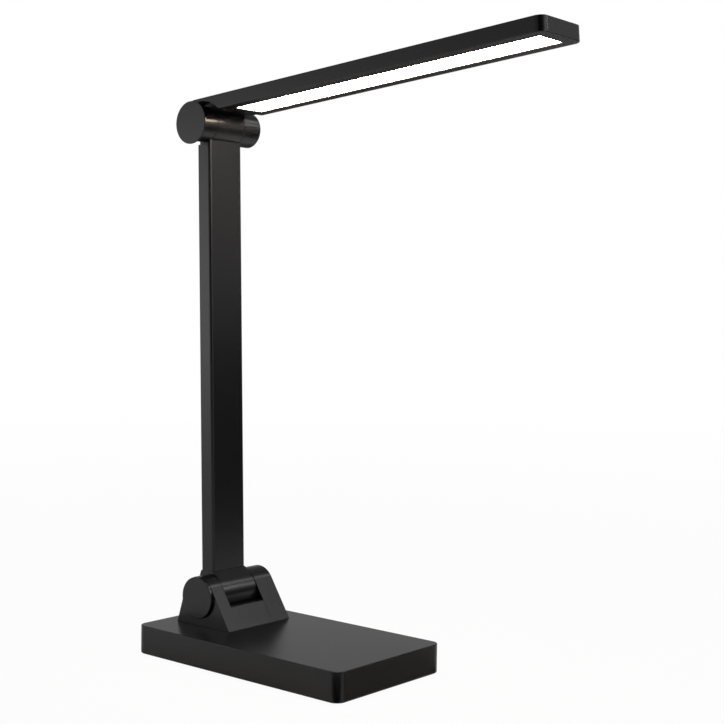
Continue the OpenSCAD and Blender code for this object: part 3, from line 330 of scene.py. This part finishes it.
def moulded_component_epoxy():
    """Black epoxy and ferrite of chips, coils and connectors: matte with a fine grit."""
    finish, tree, place = start_finish("moulded_component_epoxy")
    lump = add(tree, "ShaderNodeTexNoise", {"Vector": place, "Scale": 1 / (3 * MM), "Detail": 2})
    grit = add(tree, "ShaderNodeTexNoise", {"Vector": place, "Scale": 1 / (0.3 * MM), "Detail": 3})
    tone = add(tree, "ShaderNodeMix", {
        FACTOR: lump, FIRST: hex_rgba("#1b1b1d"), SECOND: hex_rgba("#444446"),
    }, data_type="RGBA").outputs[MIXED]
    rough = add(tree, "ShaderNodeMapRange", {"Value": grit, "To Min": 0.35, "To Max": 0.7})
    relief = add(tree, "ShaderNodeBump", {"Height": grit, "Distance": 0.02 * MM})
    body = add(tree, "ShaderNodeBsdfPrincipled", {
        "Base Color": tone, "Roughness": rough, "IOR": 1.55, "Normal": relief,
    })
    add(tree, "ShaderNodeOutputMaterial", {"Surface": body})
    return finish


# ---------------------------------------------------------------- metals


def ground_mild_steel():
    """Mild steel plate, surface ground and oiled: fine parallel scratches and faint brown stains."""
    finish, tree, place = start_finish("ground_mild_steel")
    # the wheel's scratches are 0.05 mm wide and are drawn at 0.5 mm, so that they show
    along = add(tree, "ShaderNodeVectorMath", {0: place, 1: (1, 0.05, 1)}, operation="MULTIPLY")
    scratches = add(tree, "ShaderNodeTexNoise", {
        "Vector": along, "Scale": 1 / (0.5 * MM), "Detail": 4, "Roughness": 0.6,
    })
    oil = add(tree, "ShaderNodeTexNoise", {"Vector": place, "Scale": 1 / (18 * MM), "Detail": 4})
    tone = add(tree, "ShaderNodeMix", {
        FACTOR: oil, FIRST: hex_rgba("#a9abae"), SECOND: hex_rgba("#a39c92"),
    }, data_type="RGBA").outputs[MIXED]
    rough = add(tree, "ShaderNodeMapRange", {"Value": scratches, "To Min": 0.2, "To Max": 0.5})
    relief = add(tree, "ShaderNodeBump", {"Height": scratches, "Distance": 0.02 * MM})
    plate = add(tree, "ShaderNodeBsdfPrincipled", {
        "Base Color": tone, "Metallic": 1.0, "Roughness": rough, "Normal": relief,
    })
    add(tree, "ShaderNodeOutputMaterial", {"Surface": plate})
    return finish


def cold_headed_steel():
    """Steel cold-headed into a bolt: smooth and grey, with the die's marks along it."""
    finish, tree, place = start_finish("cold_headed_steel")
    marks = add(tree, "ShaderNodeVectorMath", {0: place, 1: (0.1, 1, 1)}, operation="MULTIPLY")
    drawn = add(tree, "ShaderNodeTexNoise", {"Vector": marks, "Scale": 1 / (0.4 * MM), "Detail": 3})
    tone = add(tree, "ShaderNodeMix", {
        FACTOR: drawn, FIRST: hex_rgba("#8d8f92"), SECOND: hex_rgba("#b6b8ba"),
    }, data_type="RGBA").outputs[MIXED]
    rough = add(tree, "ShaderNodeMapRange", {"Value": drawn, "To Min": 0.22, "To Max": 0.42})
    relief = add(tree, "ShaderNodeBump", {"Height": drawn, "Distance": 0.01 * MM})
    bolt = add(tree, "ShaderNodeBsdfPrincipled", {
        "Base Color": tone, "Metallic": 1.0, "Roughness": rough, "Normal": relief,
    })
    add(tree, "ShaderNodeOutputMaterial", {"Surface": bolt})
    return finish


def tempered_spring_steel():
    """Spring steel tempered after stamping: straw and blue oxide over a smooth grey."""
    finish, tree, place = start_finish("tempered_spring_steel")
    heat = add(tree, "ShaderNodeTexNoise", {"Vector": place, "Scale": 1 / (4 * MM), "Detail": 2})
    skin = add(tree, "ShaderNodeTexNoise", {"Vector": place, "Scale": 1 / (0.4 * MM), "Detail": 3})
    tone = add(tree, "ShaderNodeMix", {
        FACTOR: heat, FIRST: hex_rgba("#8a7c62"), SECOND: hex_rgba("#6f7f95"),
    }, data_type="RGBA").outputs[MIXED]
    rough = add(tree, "ShaderNodeMapRange", {"Value": skin, "To Min": 0.2, "To Max": 0.45})
    relief = add(tree, "ShaderNodeBump", {"Height": skin, "Distance": 0.008 * MM})
    washer = add(tree, "ShaderNodeBsdfPrincipled", {
        "Base Color": tone, "Metallic": 1.0, "Roughness": rough, "Normal": relief,
    })
    add(tree, "ShaderNodeOutputMaterial", {"Surface": washer})
    return finish


def zinc_plated_steel():
    """Zinc-plated steel screws and nuts: bright, a little milky, with a faint yellow passivation."""
    finish, tree, place = start_finish("zinc_plated_steel")
    bath = add(tree, "ShaderNodeTexNoise", {"Vector": place, "Scale": 1 / (3 * MM), "Detail": 3})
    bloom = add(tree, "ShaderNodeTexNoise", {"Vector": place, "Scale": 1 / (0.4 * MM), "Detail": 4})
    tone = add(tree, "ShaderNodeMix", {
        FACTOR: bath, FIRST: hex_rgba("#b3b5b3"), SECOND: hex_rgba("#d6d4c6"),
    }, data_type="RGBA").outputs[MIXED]
    rough = add(tree, "ShaderNodeMapRange", {"Value": bloom, "To Min": 0.15, "To Max": 0.4})
    relief = add(tree, "ShaderNodeBump", {"Height": bloom, "Distance": 0.01 * MM})
    screw = add(tree, "ShaderNodeBsdfPrincipled", {
        "Base Color": tone, "Metallic": 1.0, "Roughness": rough, "Normal": relief,
    })
    add(tree, "ShaderNodeOutputMaterial", {"Surface": screw})
    return finish


def black_oxide_steel():
    """Steel blackened in hot oxide and oiled: dark, with a dull metal glint."""
    finish, tree, place = start_finish("black_oxide_steel")
    bath = add(tree, "ShaderNodeTexNoise", {"Vector": place, "Scale": 1 / (0.4 * MM), "Detail": 4})
    tone = add(tree, "ShaderNodeMix", {
        FACTOR: bath, FIRST: hex_rgba("#151516"), SECOND: hex_rgba("#333334"),
    }, data_type="RGBA").outputs[MIXED]
    rough = add(tree, "ShaderNodeMapRange", {"Value": bath, "To Min": 0.3, "To Max": 0.55})
    relief = add(tree, "ShaderNodeBump", {"Height": bath, "Distance": 0.01 * MM})
    screw = add(tree, "ShaderNodeBsdfPrincipled", {
        "Base Color": tone, "Metallic": 1.0, "Roughness": rough, "Normal": relief,
    })
    add(tree, "ShaderNodeOutputMaterial", {"Surface": screw})
    return finish


def turned_brass():
    """Brass turned to a pin: warm and bright, with fine rings round it."""
    finish, tree, place = start_finish("turned_brass")
    across = add(tree, "ShaderNodeVectorMath", {0: place, 1: (0.1, 1, 0.1)}, operation="MULTIPLY")
    # the cutter's rings are 0.05 mm apart and are drawn at 0.3 mm, so that they show
    rings = add(tree, "ShaderNodeTexNoise", {"Vector": across, "Scale": 1 / (0.3 * MM), "Detail": 2})
    tone = add(tree, "ShaderNodeMix", {
        FACTOR: rings, FIRST: hex_rgba("#a07d37"), SECOND: hex_rgba("#d6b76a"),
    }, data_type="RGBA").outputs[MIXED]
    rough = add(tree, "ShaderNodeMapRange", {"Value": rings, "To Min": 0.12, "To Max": 0.38})
    relief = add(tree, "ShaderNodeBump", {"Height": rings, "Distance": 0.01 * MM})
    pin = add(tree, "ShaderNodeBsdfPrincipled", {
        "Base Color": tone, "Metallic": 1.0, "Roughness": rough, "Normal": relief,
    })
    add(tree, "ShaderNodeOutputMaterial", {"Surface": pin})
    return finish


def rolled_aluminium():
    """Aluminium sheet as it left the mill: pale, with long faint lines from the rollers."""
    finish, tree, place = start_finish("rolled_aluminium")
    along = add(tree, "ShaderNodeVectorMath", {0: place, 1: (1, 0.04, 1)}, operation="MULTIPLY")
    # the rollers' lines are 0.1 mm wide and are drawn at 0.6 mm, so that they show
    lines = add(tree, "ShaderNodeTexNoise", {"Vector": along, "Scale": 1 / (0.6 * MM), "Detail": 4})
    tone = add(tree, "ShaderNodeMix", {
        FACTOR: lines, FIRST: hex_rgba("#b3b5b9"), SECOND: hex_rgba("#dcdee0"),
    }, data_type="RGBA").outputs[MIXED]
    rough = add(tree, "ShaderNodeMapRange", {"Value": lines, "To Min": 0.18, "To Max": 0.45})
    relief = add(tree, "ShaderNodeBump", {"Height": lines, "Distance": 0.01 * MM})
    sheet = add(tree, "ShaderNodeBsdfPrincipled", {
        "Base Color": tone, "Metallic": 1.0, "Roughness": rough, "Normal": relief,
    })
    add(tree, "ShaderNodeOutputMaterial", {"Surface": sheet})
    return finish


# ---------------------------------------------------------------- which piece has which finish

FINISHES = {
    moulded_satin_abs(): [
        "base_top_shell", "hinge_saddle", "saddle_side_cover", "saddle_cap", "arm_front_shell",
        "arm_back_cover", "arm_lower_knuckle", "arm_upper_knuckle", "head_housing", "head_bezel",
        "head_hinge_caps",
    ],
    moulded_matte_abs(): ["base_bottom_cover", "power_socket"],
    turned_acetal(): ["lower_friction_washers", "upper_friction_washers"],
    pressed_nitrile_rubber(): ["anti_slip_pad"],
    cut_conductive_foam(): ["touch_pads"],
    extruded_pvc(): ["base_wires", "arm_wires", "head_wires"],
    extruded_opal_acrylic(): ["led_diffuser"],
    cast_clear_acrylic(): ["light_guide"],
    blown_white_film(): ["reflector_sheet"],
    cast_led_silicone(): ["led_chips"],
    solder_masked_board("green_solder_mask", "#174a2f", "#27724a"): ["control_board", "socket_board"],
    solder_masked_board("white_solder_mask", "#eceae4", "#fbfaf6"): ["led_strips"],
    moulded_component_epoxy(): ["board_components"],
    ground_mild_steel(): ["ballast_plate"],
    cold_headed_steel(): ["lower_hinge_bolt", "upper_hinge_bolt"],
    tempered_spring_steel(): ["lower_spring_washers", "upper_spring_washers"],
    zinc_plated_steel(): [
        "base_screws", "ballast_screws", "board_screws", "saddle_screws", "arm_screws",
        "lower_hinge_nut", "upper_hinge_nut",
    ],
    black_oxide_steel(): ["bezel_screws"],
    turned_brass(): ["socket_pin"],
    rolled_aluminium(): ["heat_spreader"],
}

for finish, names in FINISHES.items():
    for name in names:
        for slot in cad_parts[name].material_slots:
            slot.material = finish

# ---------------------------------------------------------------- studio

FLOOR_REACH = 6.0
PAPER_DARK = "#edf2f7"
PAPER_LIGHT = "#f2f7fc"
# how white the floor is for the eye, near the lamp and far off, and the distances between which it whitens
EYE_LIFT = 0.96
EYE_LIFT_FAR = 1.0
EYE_NEAR = 0.2
EYE_FAR = 2.0
# how white the floor gets in a reflection, and the distances between which it does
MIRROR_LIFT = 0.75
MIRROR_NEAR = 0.02
MIRROR_FAR = 0.2
WALL_TONE = "#cacaca"
CEILING_TONE = "#808080"
# where walls turn into ceiling, as the height of the line of sight, which is 1 straight up
WALL_TOP = 0.1
CEILING_EDGE = 0.5
AMBIENT = 0.2
# the tones of the cards that paint shade and dark reflections, which only reflections show
BLACK_CARD = ("#0a0a0a", "#161616")
GREY_CARD = ("#a2a2a2", "#aaaaaa")
ONE_PANEL = [(0, 1, 2, 3)]
BENT_PANEL = [(0, 1, 2, 3), (1, 2, 4, 5)]


def seen_directly(tree):
    """1 for what the eye sees straight on, reflected or through something clear, 0 for other light."""
    path = add(tree, "ShaderNodeLightPath")
    seen = add(tree, "ShaderNodeMath", {
        0: path.outputs["Is Camera Ray"], 1: path.outputs["Is Transmission Ray"],
    }, operation="MAXIMUM")
    return add(tree, "ShaderNodeMath", {0: seen, 1: path.outputs["Is Glossy Ray"]}, operation="MAXIMUM")


def white_sweep():
    """A wide pale floor that keeps a faint shadow near the lamp and turns plain white further off."""
    sheet = bpy.data.meshes.new("floor")
    sheet.from_pydata([
        (-FLOOR_REACH, -FLOOR_REACH, 0), (FLOOR_REACH, -FLOOR_REACH, 0),
        (FLOOR_REACH, FLOOR_REACH, 0), (-FLOOR_REACH, FLOOR_REACH, 0),
    ], [], [(0, 1, 2, 3)])
    floor = bpy.data.objects.new("floor", sheet)
    bpy.context.collection.objects.link(floor)
    finish, tree, place = start_finish("matte_white_paper")
    fibre = add(tree, "ShaderNodeTexNoise", {"Vector": place, "Scale": 1 / (30 * MM), "Detail": 3})
    tone = add(tree, "ShaderNodeMix", {
        FACTOR: fibre, FIRST: hex_rgba(PAPER_DARK), SECOND: hex_rgba(PAPER_LIGHT),
    }, data_type="RGBA").outputs[MIXED]
    paper = add(tree, "ShaderNodeBsdfDiffuse", {"Color": tone})
    white = add(tree, "ShaderNodeEmission", {"Color": hex_rgba("#ffffff"), "Strength": 1.0})
    distance = add(tree, "ShaderNodeVectorMath", {0: place}, operation="LENGTH").outputs["Value"]
    near = add(tree, "ShaderNodeMapRange", {
        "Value": distance, "From Min": MIRROR_NEAR, "From Max": MIRROR_FAR, "To Max": MIRROR_LIFT,
    })
    mirrored = add(tree, "ShaderNodeMath", {0: near, 1: seen_directly(tree)}, operation="MULTIPLY")
    wide = add(tree, "ShaderNodeMapRange", {
        "Value": distance, "From Min": EYE_NEAR, "From Max": EYE_FAR,
        "To Min": EYE_LIFT, "To Max": EYE_LIFT_FAR,
    })
    eye = add(tree, "ShaderNodeLightPath").outputs["Is Camera Ray"]
    looked_at = add(tree, "ShaderNodeMath", {0: wide, 1: eye}, operation="MULTIPLY")
    whiteness = add(tree, "ShaderNodeMath", {0: mirrored, 1: looked_at}, operation="MAXIMUM")
    sweep = add(tree, "ShaderNodeMixShader", {0: whiteness, 1: paper, 2: white})
    add(tree, "ShaderNodeOutputMaterial", {"Surface": sweep})
    sheet.materials.append(finish)


def painted_reflection_card(name, tones, corners, faces):
    """A black or grey card that only reflections show, as a painted dark reflection: it casts no shadow,
    and the eye doesn't see it.
    """
    board = bpy.data.meshes.new(name)
    board.from_pydata(corners, [], faces)
    card = bpy.data.objects.new(name, board)
    bpy.context.collection.objects.link(card)
    finish, tree, place = start_finish(name)
    fibre = add(tree, "ShaderNodeTexNoise", {"Vector": place, "Scale": 1 / (2 * MM), "Detail": 3})
    tone = add(tree, "ShaderNodeMix", {
        FACTOR: fibre, FIRST: hex_rgba(tones[0]), SECOND: hex_rgba(tones[1]),
    }, data_type="RGBA").outputs[MIXED]
    paint = add(tree, "ShaderNodeBsdfDiffuse", {"Color": tone})
    add(tree, "ShaderNodeOutputMaterial", {"Surface": paint})
    board.materials.append(finish)
    card.visible_camera = False
    card.visible_diffuse = False
    card.visible_shadow = False


def grey_room():
    """Light grey walls under a darker ceiling, which reflections show; the eye sees white all round."""
    world = bpy.data.worlds.new("room")
    bpy.context.scene.world = world
    world.use_nodes = True
    tree = world.node_tree
    tree.nodes.clear()
    way = add(tree, "ShaderNodeTexCoord").outputs["Generated"]
    height = add(tree, "ShaderNodeSeparateXYZ", {0: way}).outputs["Z"]
    rise = add(tree, "ShaderNodeMapRange", {
        "Value": height, "From Min": WALL_TOP, "From Max": CEILING_EDGE,
    })
    room = add(tree, "ShaderNodeMix", {
        FACTOR: rise, FIRST: hex_rgba(WALL_TONE), SECOND: hex_rgba(CEILING_TONE),
    }, data_type="RGBA").outputs[MIXED]
    light = add(tree, "ShaderNodeBackground", {"Color": room, "Strength": AMBIENT})
    shown = add(tree, "ShaderNodeBackground", {"Color": room, "Strength": 1.0})
    white = add(tree, "ShaderNodeBackground", {"Color": hex_rgba("#ffffff"), "Strength": 1.0})
    around = add(tree, "ShaderNodeMixShader", {0: seen_directly(tree), 1: light, 2: shown})
    eye = add(tree, "ShaderNodeLightPath").outputs["Is Camera Ray"]
    mixed = add(tree, "ShaderNodeMixShader", {0: eye, 1: around, 2: white})
    add(tree, "ShaderNodeOutputWorld", {"Surface": mixed})


def soft_lamp(name, place, aim, width, height, power):
    """A soft rectangular studio lamp."""
    data = bpy.data.lights.new(name, "AREA")
    data.shape = "RECTANGLE"
    data.size = width
    data.size_y = height
    data.energy = power
    lamp = bpy.data.objects.new(name, data)
    lamp.location = place
    lamp.rotation_euler = (Vector(aim) - Vector(place)).to_track_quat("-Z", "Y").to_euler()
    bpy.context.collection.objects.link(lamp)


white_sweep()
# on the floor close before the base's front end, as painted shade on the floor that only reflections show
painted_reflection_card("front_card", GREY_CARD, [
    (-0.04, -0.087, 0.0004), (0.05, -0.087, 0.0004), (0.14, -0.16, 0.0004), (0.0, -0.2, 0.0004),
], ONE_PANEL)
# on the floor in front of the lamp on its right, bent up along its far edge: a painted dark reflection for
# the lamp's front faces
painted_reflection_card("floor_card", BLACK_CARD, [
    (0.12, -0.45, 0.001), (0.25, -0.95, 0.001), (1.05, -0.25, 0.001), (0.45, -0.15, 0.001),
    (1.05, -0.25, 0.24), (0.25, -0.95, 0.24),
], BENT_PANEL)
# upright behind the camera: a painted dark reflection
painted_reflection_card("camera_card", BLACK_CARD, [
    (-0.39, -1.22, 0.001), (-1.1, -0.38, 0.001), (-1.1, -0.38, 0.9), (-0.39, -1.22, 0.9),
], ONE_PANEL)
# on the floor close to the base's front left corner: painted shade on the floor that only the base's corner
# reflects
painted_reflection_card("corner_card", BLACK_CARD, [
    (-0.046, -0.083, 0.0005), (-0.13, -0.066, 0.0005), (-0.118, -0.13, 0.0005),
    (-0.0535, -0.168, 0.0005),
], ONE_PANEL)
# on the floor behind the lamp on its right: its grey paints a dimmer, shaded floor into the reflections
painted_reflection_card("back_card", GREY_CARD, [
    (0.3, 0.15, 0.001), (1.6, 0.15, 0.001), (2.6, 2.0, 0.001), (0.5, 1.8, 0.001),
], ONE_PANEL)
grey_room()
soft_lamp("left_softbox", place=(-1.5, 1.4, 0.27), aim=(0, 0, 0.15), width=1.0, height=0.62, power=3.6)
soft_lamp("top_softbox", place=(-0.4, 0.3, 1.9), aim=(0, 0, 0.1), width=1.4, height=1.4, power=4)
soft_lamp("right_softbox", place=(2.75, -3.2, 2.4), aim=(0, 0, 0.1), width=1.0, height=1.0, power=40)
soft_lamp("high_softbox", place=(3.1, -1.75, 3.2), aim=(0, 0, 0.04), width=1.0, height=0.6, power=10)
soft_lamp("front_strip", place=(0.35, -2.3, 0.79), aim=(0, 0, 0.35), width=0.7, height=0.25, power=8)

bpy.context.scene.view_settings.view_transform = "Standard"
